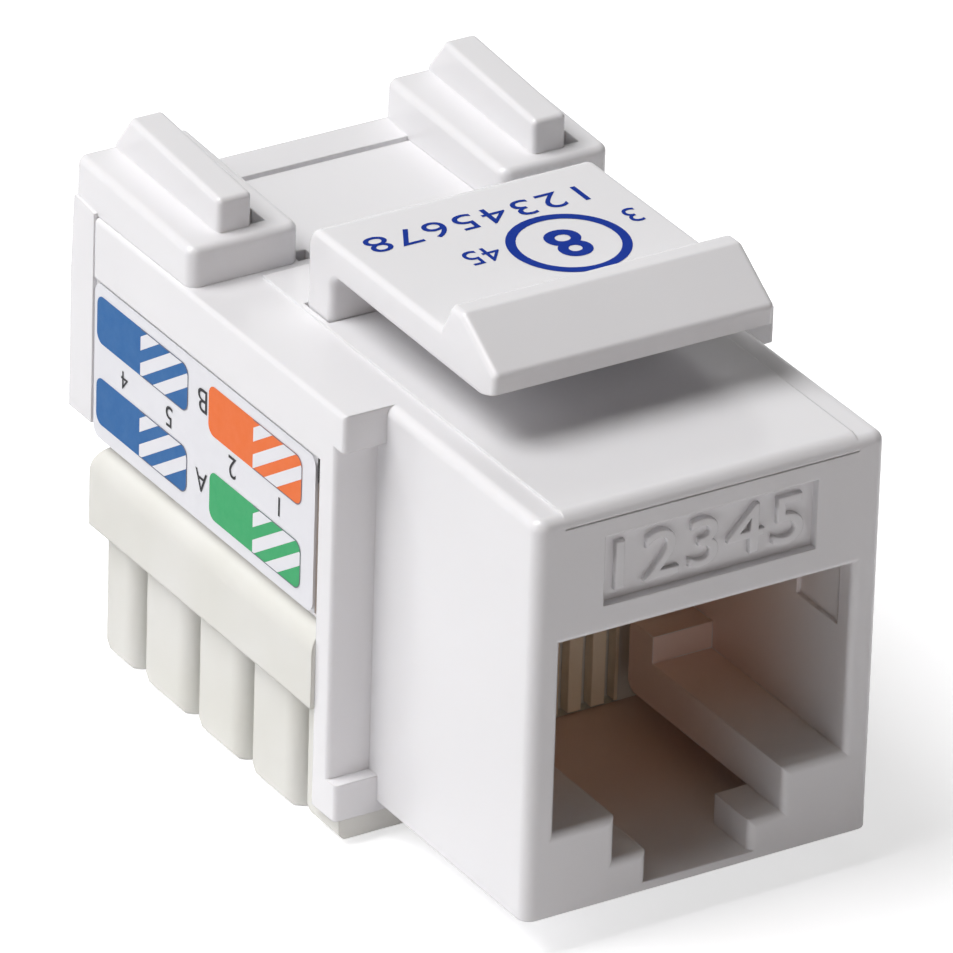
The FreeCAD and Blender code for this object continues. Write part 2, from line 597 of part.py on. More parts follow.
def contactArm(number):
    # Sprung arm of one contact wire: slopes down and back from the bend into the comb.
    body = newBody("contact_arm_%d" % number)
    middle = "(%d - 3.5) * contactPitch" % (number - 1)
    profile = [
        ("bendY", "bendZ - armRoot"), ("armEnd - endUnder", "armFoot + endLift"),
        ("armEnd", "armFoot"), ("armEnd + endCut", "armFoot + contactWire"),
        ("armEnd - endOver", "armFoot + endLift + contactWire"), ("bendY", "bendZ + armCrown"),
    ]
    low = middle + " - contactWire / 2"
    high = middle + " + contactWire / 2"
    pad(body, "arm", "side", [profile], low, high)
    roundPad(body, "bend", "side", [("bendY", "bendZ", "bendRound")], low, high)
    return body


def terminal(number):
    # Slotted blade that cuts through a wire's insulation; its tail goes through the board.
    body = newBody("terminal_%d" % number)
    side = "1" if number <= 4 else "-1"
    place = "wireFirst + %d * wirePitch" % ((number - 1) % 4)
    rear = place + " + terminalWidth / 2"
    front = place + " - terminalWidth / 2"
    foot = "bladePlay - bladeFoot"
    profile = [
        (front, foot), (place + " - terminalSlit", foot),
        (place + " - terminalSlit / 2", foot + " + slitMouth"),
        (place + " - terminalSlit / 2", "slitTop"), (place + " + terminalSlit / 2", "slitTop"),
        (place + " + terminalSlit / 2", foot + " + slitMouth"), (place + " + terminalSlit", foot),
        (rear, foot), (rear, "terminalTop"), (place + " + terminalTail / 2", "terminalTop"),
        (place + " + terminalTail / 2", "tailEnd"), (place + " - terminalTail / 2", "tailEnd"),
        (place + " - terminalTail / 2", "terminalTop"), (front, "terminalTop"),
    ]
    middle = "%s * bladeX" % side
    pad(body, "blade", "side", [profile], middle + " - terminalSheet / 2",
        middle + " + terminalSheet / 2")
    return body


def paperLabel(label, side):
    body = newBody(label)
    outline = rectangle("labelFront", "wallBase + labelSheet", "sectionRear - labelSheet",
                        "labelHeadBase")
    inner = "wallOuter - labelSink"
    if side > 0:
        start, end = inner, inner + " + labelSheet"
    else:
        start, end = "-(%s + labelSheet)" % inner, "-(%s)" % inner
    pad(body, "sheet", "side", [outline], start, end)
    dress(body, "Fillet", "corners", "labelRound", lambda a, b: (
        near(a.y, b.y) and near(a.z, b.z) and not near(a.x, b.x)))
    return body


bodies = [frontHousing(), latchArm(), rearCover(), wiringBlock(), circuitBoard(),
          contactCarrier()]
for number in range(1, 9):
    bodies.append(contactLead(number))
    bodies.append(contactArm(number))
    bodies.append(terminal(number))
bodies.append(paperLabel("label_left", -1))
bodies.append(paperLabel("label_right", 1))

for body in bodies:
    body.setExpression("Placement.Base.y", bound("-depth / 2"))
    body.setExpression("Placement.Base.z", bound("towerTip"))
doc.recompute()

for item in doc.Objects:
    if "Invalid" in item.State or "Error" in item.State:
        raise RuntimeError("%s is in state %s" % (item.Label, item.State))
for body in bodies:
    shape = body.Shape
    if shape.isNull() or not shape.isValid() or len(shape.Solids) != 1:
        raise RuntimeError("%s is not one valid solid" % body.Label)
    shape.exportStep("parts/%s.step" % body.Label)
    box = shape.BoundBox
    print("%-18s %8.3f mm3  x %.2f..%.2f  y %.2f..%.2f  z %.2f..%.2f" % (
        body.Label, shape.Volume, box.XMin, box.XMax, box.YMin, box.YMax, box.ZMin, box.ZMax))
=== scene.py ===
# Keystone jack: finishes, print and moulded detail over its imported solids.
# Sizes in the dictionaries are millimetres and degrees; everything in Blender is metres.
import math

import bmesh
import bpy
from mathutils import Matrix, Vector


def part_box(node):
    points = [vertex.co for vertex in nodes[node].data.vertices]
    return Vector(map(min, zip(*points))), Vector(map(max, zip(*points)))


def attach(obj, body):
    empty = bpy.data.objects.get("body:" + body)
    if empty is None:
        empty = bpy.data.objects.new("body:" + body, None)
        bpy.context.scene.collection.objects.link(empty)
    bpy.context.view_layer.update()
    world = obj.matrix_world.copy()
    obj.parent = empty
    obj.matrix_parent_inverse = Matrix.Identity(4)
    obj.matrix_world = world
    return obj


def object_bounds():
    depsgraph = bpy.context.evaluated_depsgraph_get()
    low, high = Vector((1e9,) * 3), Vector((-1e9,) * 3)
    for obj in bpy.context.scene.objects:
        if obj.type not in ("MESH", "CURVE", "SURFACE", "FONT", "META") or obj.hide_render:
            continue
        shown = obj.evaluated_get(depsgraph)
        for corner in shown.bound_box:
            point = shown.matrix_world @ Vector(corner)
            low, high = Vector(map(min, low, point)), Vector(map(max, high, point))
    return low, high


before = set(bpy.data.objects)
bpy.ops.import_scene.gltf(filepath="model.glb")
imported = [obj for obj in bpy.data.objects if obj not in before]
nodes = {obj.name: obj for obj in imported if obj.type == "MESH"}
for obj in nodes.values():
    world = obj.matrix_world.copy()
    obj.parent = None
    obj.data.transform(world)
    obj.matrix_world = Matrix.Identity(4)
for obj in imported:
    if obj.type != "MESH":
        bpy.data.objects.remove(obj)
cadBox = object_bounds()
mm = 0.001
scene = bpy.context.scene
print("frame loaded:", len(nodes), "solids")


def linear(hexColour):
    shares = [int(hexColour[i:i + 2], 16) / 255 for i in (1, 3, 5)]
    return (*[s / 12.92 if s <= 0.04045 else ((s + 0.055) / 1.055) ** 2.4 for s in shares], 1.0)


def addNode(tree, kind, settings=None, inputs=None):
    # an input is named or numbered, and holds a value or another node's output
    node = tree.nodes.new(kind)
    for name, value in (settings or {}).items():
        setattr(node, name, value)
    for name, value in (inputs or {}).items():
        if isinstance(value, bpy.types.NodeSocket):
            tree.links.new(value, node.inputs[name])
        else:
            node.inputs[name].default_value = value
    return node


def sums(tree, operation, first, second=0.0):
    node = addNode(tree, "ShaderNodeMath", {"operation": operation}, {0: first, 1: second})
    return node.outputs["Value"]


def vectors(tree, operation, first, second):
    node = addNode(tree, "ShaderNodeVectorMath", {"operation": operation}, {0: first, 1: second})
    return node.outputs["Vector"]


def mixed(tree, under, over, share):
    node = addNode(tree, "ShaderNodeMix", {"data_type": "RGBA"}, {6: under, 7: over, 0: share})
    return node.outputs[2]


def noise(tree, place, scale, detail=2.0, roughness=0.5):
    return addNode(tree, "ShaderNodeTexNoise", inputs={
        "Vector": place, "Scale": scale, "Detail": detail, "Roughness": roughness}).outputs["Fac"]


def spread(tree, value, low, high, toLow=0.0, toHigh=1.0, form="SMOOTHSTEP"):
    return addNode(tree, "ShaderNodeMapRange", {"interpolation_type": form}, {
        "Value": value, "From Min": low, "From Max": high,
        "To Min": toLow, "To Max": toHigh}).outputs["Result"]


def bumped(tree, height, depth, **more):
    return addNode(tree, "ShaderNodeBump", inputs={
        "Strength": 1.0, "Distance": depth * mm, "Height": height, **more}).outputs["Normal"]


def objectPlace(tree):
    return addNode(tree, "ShaderNodeTexCoord").outputs["Object"]


def newMaterial(name, colour, roughness, ior=1.5, metallic=0.0):
    material = bpy.data.materials.new(name)
    material.use_nodes = True
    tree = material.node_tree
    tree.nodes.clear()
    shader = addNode(tree, "ShaderNodeBsdfPrincipled", inputs={
        "Base Color": linear(colour), "Roughness": roughness, "IOR": ior, "Metallic": metallic})
    addNode(tree, "ShaderNodeOutputMaterial", inputs={"Surface": shader.outputs["BSDF"]})
    material.diffuse_color = linear(colour)
    return material, tree, shader


def paintedShadeIn(tree, colour, place, shadeTone, low, high, soft):
    # painted shade between two corners, the same on both sides, that fades over the lengths in soft
    x, y, z = addNode(tree, "ShaderNodeSeparateXYZ", inputs={"Vector": place}).outputs
    point = addNode(tree, "ShaderNodeCombineXYZ", inputs={
        "X": sums(tree, "ABSOLUTE", x), "Y": y, "Z": z}).outputs["Vector"]
    inside = vectors(tree, "MINIMUM", vectors(tree, "SUBTRACT", point, low),
                     vectors(tree, "SUBTRACT", high, point))
    shares = vectors(tree, "DIVIDE", inside, soft)
    x, y, z = addNode(tree, "ShaderNodeSeparateXYZ", inputs={"Vector": shares}).outputs
    least = sums(tree, "MINIMUM", sums(tree, "MINIMUM", x, y), z)
    return mixed(tree, colour, linear(shadeTone), spread(tree, least, 0.0, 1.0))


# where in a noise each effect begins and is full
mouldedEffects = {
    "flow": (0.3, 0.7), "gloss": (0.3, 0.7), "rubbed": (0.42, 0.62),
    # the cosine between a face and the rounded edge beside it, likewise
    "edgeTurn": (0.995, 0.85), "edgeSamples": 8, "wornRoughness": 0.08,
    # how far red, green and blue light goes into the plastic, in shares of the depth
    "glowRadius": (1.0, 0.85, 0.7), "glowDepth": 0.5}


def mouldedPlastic(name, values):
    # slow colour change from the melt's flow, faint sinks, fine tool texture, rubbed edges, specks
    material, tree, shader = newMaterial(name, values["colour"], values["roughness"], values["ior"])
    effects = mouldedEffects
    place = addNode(tree, "ShaderNodeMapping", inputs={
        "Vector": objectPlace(tree), "Scale": (1 / mm,) * 3}).outputs["Vector"]

    flow = spread(tree, noise(tree, place, 1 / values["flowSize"], detail=1.0), *effects["flow"])
    colour = mixed(tree, linear(values["colour"]), linear(values["shade"]), flow)
    # painted shade: each box darkens or warms the colour inside it
    for shadeTone in values.get("paintedShades", ()):
        colour = paintedShadeIn(tree, colour, place, *shadeTone)

    rub = noise(tree, place, 1 / values["rubSize"])
    edge = addNode(tree, "ShaderNodeBevel", {"samples": effects["edgeSamples"]}, {
        "Radius": values["edgeRadius"] * mm}).outputs["Normal"]
    surface = addNode(tree, "ShaderNodeNewGeometry").outputs["Normal"]
    turn = addNode(tree, "ShaderNodeVectorMath", {"operation": "DOT_PRODUCT"}, {
        0: edge, 1: surface}).outputs["Value"]
    worn = sums(tree, "MULTIPLY", spread(tree, turn, *effects["edgeTurn"]),
                spread(tree, rub, *effects["rubbed"]))
    colour = mixed(tree, colour, linear(values["worn"]), worn)

    spacing = values["speckSpacing"]
    cells = addNode(tree, "ShaderNodeTexVoronoi", inputs={"Vector": place, "Scale": 1 / spacing})
    pick = addNode(tree, "ShaderNodeSeparateColor", inputs={"Color": cells.outputs["Color"]})
    near = sums(tree, "LESS_THAN", cells.outputs["Distance"], values["speckRadius"] / spacing)
    chosen = sums(tree, "LESS_THAN", pick.outputs["Red"], values["speckShare"])
    speck = sums(tree, "MULTIPLY", near, chosen)
    colour = mixed(tree, colour, linear(values["speckColour"]), speck)
    tree.links.new(colour, shader.inputs["Base Color"])

    gloss = spread(tree, rub, *effects["gloss"], values["roughness"] - values["roughnessSpread"],
                   values["roughness"] + values["roughnessSpread"])
    rubbedGloss = sums(tree, "MULTIPLY", worn, effects["wornRoughness"])
    tree.links.new(sums(tree, "ADD", gloss, rubbedGloss), shader.inputs["Roughness"])

    hollow = noise(tree, place, 1 / values["sinkSize"], detail=0.0)
    sinks = bumped(tree, hollow, values["sinkDepth"], Normal=edge)
    grain = bumped(tree, noise(tree, place, 1 / values["grainSize"]), values["grainDepth"],
                   Normal=sinks)
    tree.links.new(grain, shader.inputs["Normal"])
    shader.inputs["Subsurface Weight"].default_value = values["glow"]
    shader.inputs["Subsurface Radius"].default_value = effects["glowRadius"]
    shader.inputs["Subsurface Scale"].default_value = effects["glowDepth"] * mm
    return material


# ABS from a polished tool: white, glossy enough to show soft lights
glossyAbsLook = {
    "colour": "#E7E6E8", "shade": "#E4E3E5", "worn": "#D9D7D7", "flowSize": 9.0,
    "roughness": 0.24, "roughnessSpread": 0.02, "ior": 1.54, "speckSpacing": 3.4,
    "speckRadius": 0.05, "speckShare": 0.07, "speckColour": "#A5A19D", "rubSize": 2.2,
    "edgeRadius": 0.09, "grainSize": 0.16, "grainDepth": 0.0002, "sinkSize": 5.0,
    "sinkDepth": 0.004, "glow": 0.05}
glossyAbs = mouldedPlastic("glossy_moulded_abs", glossyAbsLook)

# the housing's ABS, with painted shade: warm in the port, darker in the slit before each label,
# darkest at its top
housingPaintedShade = (
    # painted shade colour, two corners, lengths over which it fades
    # painted shade, warm and darker, deep in the port
    ("#DFC6BC", (-1, -14.2, 1.75), (6.45, 6, 12.95), (0.05, 7, 0.05)),
    # painted shade in the slit before each label
    ("#CFC3BA", (7.9, -3.13, 8.7), (9.19, -2.73, 15.5), (0.02, 0.02, 0.3)),
    # painted shadow, near black, in the top of that slit
    ("#1C1715", (7.9, -3.13, 14.15), (9.19, -2.73, 15.6), (0.02, 0.02, 0.15)))
housingAbs = mouldedPlastic("glossy_moulded_abs_of_the_housing_with_painted_shade",
                            {**glossyAbsLook, "paintedShades": housingPaintedShade})

# glass-filled PBT: warmer and matt, with a grain that breaks up the light
mattPbt = mouldedPlastic("matt_moulded_pbt", {
    "colour": "#E0DFDA", "shade": "#DBDAD3", "worn": "#D2D0C8", "flowSize": 5.0,
    "roughness": 0.55, "roughnessSpread": 0.05, "ior": 1.57, "speckSpacing": 2.6,
    "speckRadius": 0.05, "speckShare": 0.08, "speckColour": "#8F8A82", "rubSize": 1.2,
    "edgeRadius": 0.14, "grainSize": 0.13, "grainDepth": 0.0016, "sinkSize": 3.0,
    "sinkDepth": 0.006, "glow": 0.05})

# unfilled PBT of the contact carrier: cream, satin
creamPbt = mouldedPlastic("cream_moulded_pbt", {
    "colour": "#F7EBD6", "shade": "#F0E1C8", "worn": "#E2D2B8", "flowSize": 3.0,
    "roughness": 0.42, "roughnessSpread": 0.05, "ior": 1.57, "speckSpacing": 2.2,
    "speckRadius": 0.04, "speckShare": 0.05, "speckColour": "#8F8A82", "rubSize": 0.9,
    "edgeRadius": 0.05, "grainSize": 0.1, "grainDepth": 0.0006, "sinkSize": 2.0,
    "sinkDepth": 0.004, "glow": 0.05})


def drawnMetal(name, values):
    # wire or strip: fine lines along its length and a little tarnish
    material, tree, shader = newMaterial(name, values["colour"], values["roughness"], metallic=1.0)
    place = objectPlace(tree)
    across, along = 1 / (values["lineWidth"] * mm), 1 / (values["lineLength"] * mm)
    stretched = addNode(tree, "ShaderNodeMapping", inputs={
        "Vector": place, "Scale": (across, along, along)}).outputs["Vector"]
    lines = noise(tree, stretched, 1.0, detail=3.0)
    tarnished = noise(tree, place, 1 / (values["tarnishSize"] * mm), detail=4.0)
    share = spread(tree, tarnished, *values["tarnishBand"], form="LINEAR")
    colour = mixed(tree, linear(values["colour"]), linear(values["tarnish"]), share)
    tree.links.new(colour, shader.inputs["Base Color"])
    gloss = spread(tree, lines, *values["lineBand"],
                   *[values["roughness"] + change for change in values["roughnessChange"]],
                   form="LINEAR")
    tree.links.new(gloss, shader.inputs["Roughness"])
    tree.links.new(bumped(tree, lines, values["lineDepth"]), shader.inputs["Normal"])
    return material


drawnLook = {"tarnishBand": (0.45, 0.75), "lineBand": (0.3, 0.7), "roughnessChange": (-0.08, 0.1)}
# hard gold over phosphor bronze: yellow, bright, slightly drawn
goldPlate = drawnMetal("gold_plated_phosphor_bronze", {
    **drawnLook, "colour": "#E0B25A", "tarnish": "#B98A3C", "roughness": 0.24,
    "lineWidth": 0.06, "lineLength": 1.5, "lineDepth": 0.0015, "tarnishSize": 1.2})
# dull tin over bronze: grey with a warm tint
tinPlate = drawnMetal("tin_plated_bronze", {
    **drawnLook, "colour": "#BDB9B2", "tarnish": "#8E8880", "roughness": 0.38,
    "lineWidth": 0.08, "lineLength": 1.2, "lineDepth": 0.002, "tarnishSize": 0.8})


flatEffects = {"mottleRoughness": 0.65, "mottleBand": (0.3, 0.7), "roughnessChange": (-0.05, 0.05)}


def flatFinish(name, values):
    # a thin, even layer: paper, ink or solder mask, with its own mottle and tooth
    material, tree, shader = newMaterial(name, values["colour"], values["roughness"], values["ior"])
    shader.inputs["Specular IOR Level"].default_value = values["shine"]
    place = objectPlace(tree)
    mottle = noise(tree, place, 1 / (values["mottleSize"] * mm), detail=4.0,
                   roughness=flatEffects["mottleRoughness"])
    colour = mixed(tree, linear(values["colour"]), linear(values["shade"]), mottle)
    tree.links.new(colour, shader.inputs["Base Color"])
    gloss = spread(tree, mottle, *flatEffects["mottleBand"],
                   *[values["roughness"] + change for change in flatEffects["roughnessChange"]],
                   form="LINEAR")
    tree.links.new(gloss, shader.inputs["Roughness"])
    tooth = noise(tree, place, 1 / (values["toothSize"] * mm))
    tree.links.new(bumped(tree, tooth, values["toothDepth"]), shader.inputs["Normal"])
    return material


# coated label paper, white and satin, with the fibre just felt through the coating
labelPaper = flatFinish("coated_label_paper", {
    "colour": "#E6E6EA", "shade": "#E0E0E5", "roughness": 0.45, "ior": 1.5, "shine": 0.35,
    "mottleSize": 1.6, "toothSize": 0.15, "toothDepth": 0.0015})
# green solder mask over woven glass laminate
solderMask = flatFinish("solder_mask_on_laminate", {
    "colour": "#1C5A34", "shade": "#174B2B", "roughness": 0.35, "ior": 1.52, "shine": 0.5,
    "mottleSize": 1.0, "toothSize": 0.3, "toothDepth": 0.003})


def printInk(name, colour, shade, roughness=0.5, shine=0.2):
    # offset or pad ink: a thin layer with little gloss of its own
    return flatFinish(name, {
        "colour": colour, "shade": shade, "roughness": roughness, "ior": 1.48, "shine": shine,
        "mottleSize": 0.5, "toothSize": 0.12, "toothDepth": 0.001})


inks = {
    "blue": printInk("offset_ink_blue", "#2465A2", "#1E5D9A"),
    "orange": printInk("offset_ink_orange", "#EC7436", "#E66C2D"),
    "green": printInk("offset_ink_green", "#38A86A", "#309F62"),
    "brown": printInk("offset_ink_brown", "#8A5A3A", "#7F5133"),
    "black": printInk("offset_ink_black", "#1E1D22", "#29282D"),
    "grey": printInk("offset_ink_grey", "#6A6A78", "#737380"),
    "navy": printInk("pad_print_ink_navy", "#12369A", "#10318E", 0.4, 0.03),
}

finishes = {
    "front_housing": housingAbs, "rear_cover": glossyAbs, "latch_arm": glossyAbs,
    "wiring_block": mattPbt, "contact_carrier": creamPbt, "circuit_board": solderMask,
    "label_left": labelPaper, "label_right": labelPaper}
for name, solid in nodes.items():
    finish = finishes.get(name) or (tinPlate if name.startswith("terminal") else goldPlate)
    solid.data.materials.clear()
    solid.data.materials.append(finish)
print("finishes made:", len(bpy.data.materials))


def arc(x, y, radius, start, sweep=90, steps=8):
    # points on a circle round x, y
    angles = [math.radians(start + sweep * step / steps) for step in range(steps + 1)]
    return [Vector((x + radius * math.cos(a), y + radius * math.sin(a))) * mm for a in angles]


def circle(radius, steps=96):
    return arc(0, 0, radius, 0, 360 - 360 / steps, steps - 1)


def barEnd(length, height, radius, inset=0.0):
    # the rounded right end, from below to above; x runs from the bar's left end
    x, y = length - radius, height / 2 - radius
    return arc(x, -y, radius - inset, 270) + arc(x, y, radius - inset, 0)


def barOutline(length, height, radius):
    right = barEnd(length, height, radius)
    return right + [Vector((length * mm - p.x, -p.y)) for p in right]


def barRim(start, length, height, radius, inset=0.0):
    # the edge of the bar's striped part, round its right end and open on the left
    below, above = [Vector((start, y)) * mm for y in (inset - height / 2, height / 2 - inset)]
    return [below, *barEnd(length, height, radius, inset), above]


def flatMesh(name, outline, material, inner=None, closed=True):
    # a flat face, or the band between two outlines, which goes all the way round or has two ends
    form = bmesh.new()
    outer = [form.verts.new((*p, 0)) for p in outline]
    if inner:
        near = [form.verts.new((*p, 0)) for p in inner]
        for i in range(len(outer) if closed else len(outer) - 1):
            j = (i + 1) % len(outer)
            form.faces.new((outer[i], outer[j], near[j], near[i]))
    else:
        form.faces.new(outer)
    mesh = bpy.data.meshes.new(name)
    form.to_mesh(mesh)
    form.free()
    mesh.materials.append(material)
    return mesh


def stripeTree(steps=60, leastArea=1e-10):
    # leaning stripes one below another, cut upright at the solid part and held within the
    # bar's rounded end; a stripe has this many points along it, and its empty faces go
    tree = bpy.data.node_groups.new("label_stripes", "GeometryNodeTree")
    for name, kind in (("Count", "Int"), ("Pitch", "Float"), ("Length", "Float"),
                       ("Width", "Float"), ("Slope", "Float"), ("First", "Float"),
                       ("Height", "Float"), ("Corner", "Float"), ("Finish", "Material")):
        tree.interface.new_socket(name, in_out="INPUT", socket_type="NodeSocket" + kind)
    tree.interface.new_socket("Geometry", in_out="OUTPUT", socket_type="NodeSocketGeometry")
    given = addNode(tree, "NodeGroupInput").outputs

    def vector(**parts):
        return addNode(tree, "ShaderNodeCombineXYZ", inputs=parts).outputs["Vector"]

    position = addNode(tree, "GeometryNodeInputPosition").outputs["Position"]
    x, y, z = addNode(tree, "ShaderNodeSeparateXYZ", inputs={"Vector": position}).outputs
    line = addNode(tree, "GeometryNodeMeshLine", {"mode": "OFFSET"}, {
        "Count": given["Count"], "Start Location": vector(Y=given["First"]),
        "Offset": vector(Y=sums(tree, "MULTIPLY", given["Pitch"], -1.0))})
    stripe = addNode(tree, "GeometryNodeMeshGrid", inputs={
        "Size X": given["Length"], "Size Y": given["Width"], "Vertices X": steps, "Vertices Y": 2})
    halfLength = sums(tree, "MULTIPLY", given["Length"], 0.5)
    rise = sums(tree, "MULTIPLY", sums(tree, "ADD", x, halfLength), given["Slope"])
    leaning = addNode(tree, "GeometryNodeSetPosition", inputs={
        "Geometry": stripe.outputs["Mesh"], "Offset": vector(X=halfLength, Y=rise)})
    placed = addNode(tree, "GeometryNodeInstanceOnPoints", inputs={
        "Points": line.outputs["Mesh"], "Instance": leaning.outputs["Geometry"]})
    real = addNode(tree, "GeometryNodeRealizeInstances", inputs={
        "Geometry": placed.outputs["Instances"]})

    # the bar's half height at x, less in its rounded corners
    corner = given["Corner"]
    cornerStart = sums(tree, "SUBTRACT", given["Length"], corner)
    intoCorner = sums(tree, "MAXIMUM", sums(tree, "SUBTRACT", x, cornerStart), 0.0)
    left = sums(tree, "SUBTRACT", sums(tree, "MULTIPLY", corner, corner),
                sums(tree, "MULTIPLY", intoCorner, intoCorner))
    straight = sums(tree, "SUBTRACT", sums(tree, "MULTIPLY", given["Height"], 0.5), corner)
    limit = sums(tree, "ADD", straight, sums(tree, "SQRT", sums(tree, "MAXIMUM", left, 0.0)))
    held = sums(tree, "MAXIMUM", sums(tree, "MINIMUM", y, limit),
                sums(tree, "MULTIPLY", limit, -1.0))
    fitted = addNode(tree, "GeometryNodeSetPosition", inputs={
        "Geometry": real.outputs["Geometry"], "Position": vector(X=x, Y=held)})
    area = addNode(tree, "GeometryNodeInputMeshFaceArea").outputs["Area"]
    kept = addNode(tree, "GeometryNodeDeleteGeometry", {"domain": "FACE"}, {
        "Geometry": fitted.outputs["Geometry"],
        "Selection": sums(tree, "LESS_THAN", area, leastArea)})
    inked = addNode(tree, "GeometryNodeSetMaterial", inputs={
        "Geometry": kept.outputs["Geometry"], "Material": given["Finish"]})
    addNode(tree, "NodeGroupOutput", inputs={"Geometry": inked.outputs["Geometry"]})
    return tree


def evaluated(holder):
    # the holder's final mesh; the holder itself goes
    scene.collection.objects.link(holder)
    mesh = bpy.data.meshes.new_from_object(
        holder.evaluated_get(bpy.context.evaluated_depsgraph_get()))
    bpy.data.objects.remove(holder)
    return mesh


def grown(name, tree, values):
    # the mesh that a tree gives for these inputs
    holder = bpy.data.objects.new(name, bpy.data.meshes.new(name))
    modifier = holder.modifiers.new(name, "NODES")
    modifier.node_group = tree
    sockets = {s.name: s.identifier for s in tree.interface.items_tree if s.in_out == "INPUT"}
    for key, value in values.items():
        modifier[sockets[key]] = value
    return evaluated(holder)


# the size that text is set at before it is brought to its own, and the steps in each curve
lettering = {"size": 10, "steps": 6}


def textMesh(words, width, height, material, **form):
    # centred on its own origin, facing +Z, brought to a height, and to a width where one is given
    curve = bpy.data.curves.new("mark", "FONT")
    curve.body = words
    curve.size = lettering["size"] * mm
    curve.resolution_u = lettering["steps"]
    for key, value in form.items():
        setattr(curve, key, value)
    mesh = evaluated(bpy.data.objects.new("mark", curve))
    low = Vector([min(v.co[i] for v in mesh.vertices) for i in range(3)])
    high = Vector([max(v.co[i] for v in mesh.vertices) for i in range(3)])
    centre = (low + high) / 2
    tall = height * mm / (high.y - low.y)
    wide = width * mm / (high.x - low.x) if width else tall
    mesh.transform(Matrix.Diagonal((wide, tall, 1, 1))
                   @ Matrix.Translation((-centre.x, -centre.y, 0)))
    mesh.materials.clear()
    mesh.materials.append(material)
    return mesh


def joined(name, placedMeshes, body):
    # one piece from several meshes, each face keeping its own finish
    form = bmesh.new()
    materials = []
    for mesh, place in placedMeshes:
        mesh.transform(place)
        known = len(form.faces)
        form.from_mesh(mesh)
        form.faces.ensure_lookup_table()
        for face in form.faces[known:]:
            material = mesh.materials[face.material_index]
            if material not in materials:
                materials.append(material)
            face.material_index = materials.index(material)
    whole = bpy.data.meshes.new(name)
    form.to_mesh(whole)
    form.free()
    for material in materials:
        whole.materials.append(material)
    piece = bpy.data.objects.new(name, whole)
    scene.collection.objects.link(piece)
    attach(piece, body)


# for each pair of pins a bar of colour, solid at its left end and striped at its right
labelPrint = {
    "barLift": 0.010, "stripeLift": 0.014, "lineLift": 0.018, "textLift": 0.014,
    # distance from the left end, length, height of the middle above the lower edge, thickness
    "bars": ((0.19, 6.68, 4.98, 1.97), (0.21, 6.68, 1.59, 1.95),
             (8.36, 6.68, 4.96, 2.04), (8.53, 6.53, 1.49, 1.98)),
    # the same bars' inks: upper left, lower left, upper right, lower right
    "inks": {"left": ("blue", "blue", "orange", "green"),
             "right": ("green", "orange", "brown", "brown")},
    "corner": 0.42, "solidShare": 0.48, "lineWidth": 0.04, "stripes": 3,
    "stripeWidth": 0.58, "stripePitch": 1.1, "stripeSlope": 0.66, "firstStripe": 0.64,
    # what is printed, upside down: distance from the left end, height above the lower edge, size
    "textTurn": 180, "text": {
        "left": (("4", 2.26, 3.22, 0.74), ("5", 5.54, 3.27, 0.86), ("B", 7.92, 5.05, 0.96),
                 ("A", 7.93, 1.69, 0.86), ("2", 10.13, 3.29, 0.88), ("1", 13.48, 3.26, 0.78)),
        "right": (("6", 2.26, 3.22, 0.84), ("3", 5.54, 3.27, 0.86), ("B", 7.92, 5.05, 0.96),
                  ("A", 7.93, 1.69, 0.86), ("8", 10.13, 3.29, 0.86), ("7", 13.48, 3.26, 0.82))}}
stripes = stripeTree()


def printLabel(side, outward):
    low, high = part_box("label_" + side)
    corner = (low.x, high.y, low.z) if outward < 0 else (high.x, low.y, low.z)
    face = Matrix(((0, 0, outward), (outward, 0, 0), (0, 1, 0))).to_4x4()

    def onLabel(along, up, lift, turn=0.0):
        return (Matrix.Translation(corner) @ face
                @ Matrix.Translation(Vector((along, up, lift)) * mm)
                @ Matrix.Rotation(math.radians(turn), 4, "Z"))

    values = labelPrint
    line, radius = values["lineWidth"], values["corner"]
    marks = []
    for (gap, length, middle, height), ink in zip(values["bars"], values["inks"][side]):
        solid = length * values["solidShare"]
        bar = flatMesh("bar", barOutline(length, height, radius), inks[ink])
        marks.append((bar, onLabel(gap, middle, values["barLift"])))
        bars = grown("stripes", stripes, {
            "Count": values["stripes"], "Pitch": values["stripePitch"] * mm,
            "Length": (length - solid - line) * mm, "Width": values["stripeWidth"] * mm,
            "Slope": values["stripeSlope"], "First": (height / 2 - values["firstStripe"]) * mm,
            "Height": (height - 2 * line) * mm, "Corner": (radius - line) * mm,
            "Finish": labelPaper})
        marks.append((bars, onLabel(gap + solid, middle, values["stripeLift"])))
        rim = flatMesh("line", barRim(solid, length, height, radius), inks["grey"],
                       barRim(solid, length, height, radius, line), closed=False)
        marks.append((rim, onLabel(gap, middle, values["lineLift"])))
    for words, along, up, height in values["text"][side]:
        mark = textMesh(words, None, height, inks["black"])
        marks.append((mark, onLabel(along, up, values["textLift"], values["textTurn"])))
    joined("label_print_" + side, marks, "jack")


printLabel("left", -1)
printLabel("right", 1)
print("label print made")

# raised figures in the front plate, which stand nearly as proud as the face round them
plate = {"words": "12345", "width": 8.0, "height": 2.0, "centreX": 0.05, "belowTop": 2.7,
         "recess": 0.35, "stand": 0.16, "round": 0.13, "roundSteps": 3, "spacing": 1.12}
low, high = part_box("front_housing")
frontFace = low.y
figures = textMesh(plate["words"], plate["width"], plate["height"], glossyAbs,
                   extrude=plate["stand"] / 2 * mm, bevel_depth=plate["round"] * mm,
                   bevel_resolution=plate["roundSteps"], space_character=plate["spacing"])
upright = Matrix(((1, 0, 0), (0, 0, -1), (0, 1, 0))).to_4x4()
middle = (plate["centreX"] * mm, frontFace + plate["recess"] * mm, high.z - plate["belowTop"] * mm)
joined("plate_figures", [(figures, Matrix.Translation(middle) @ upright)], "jack")

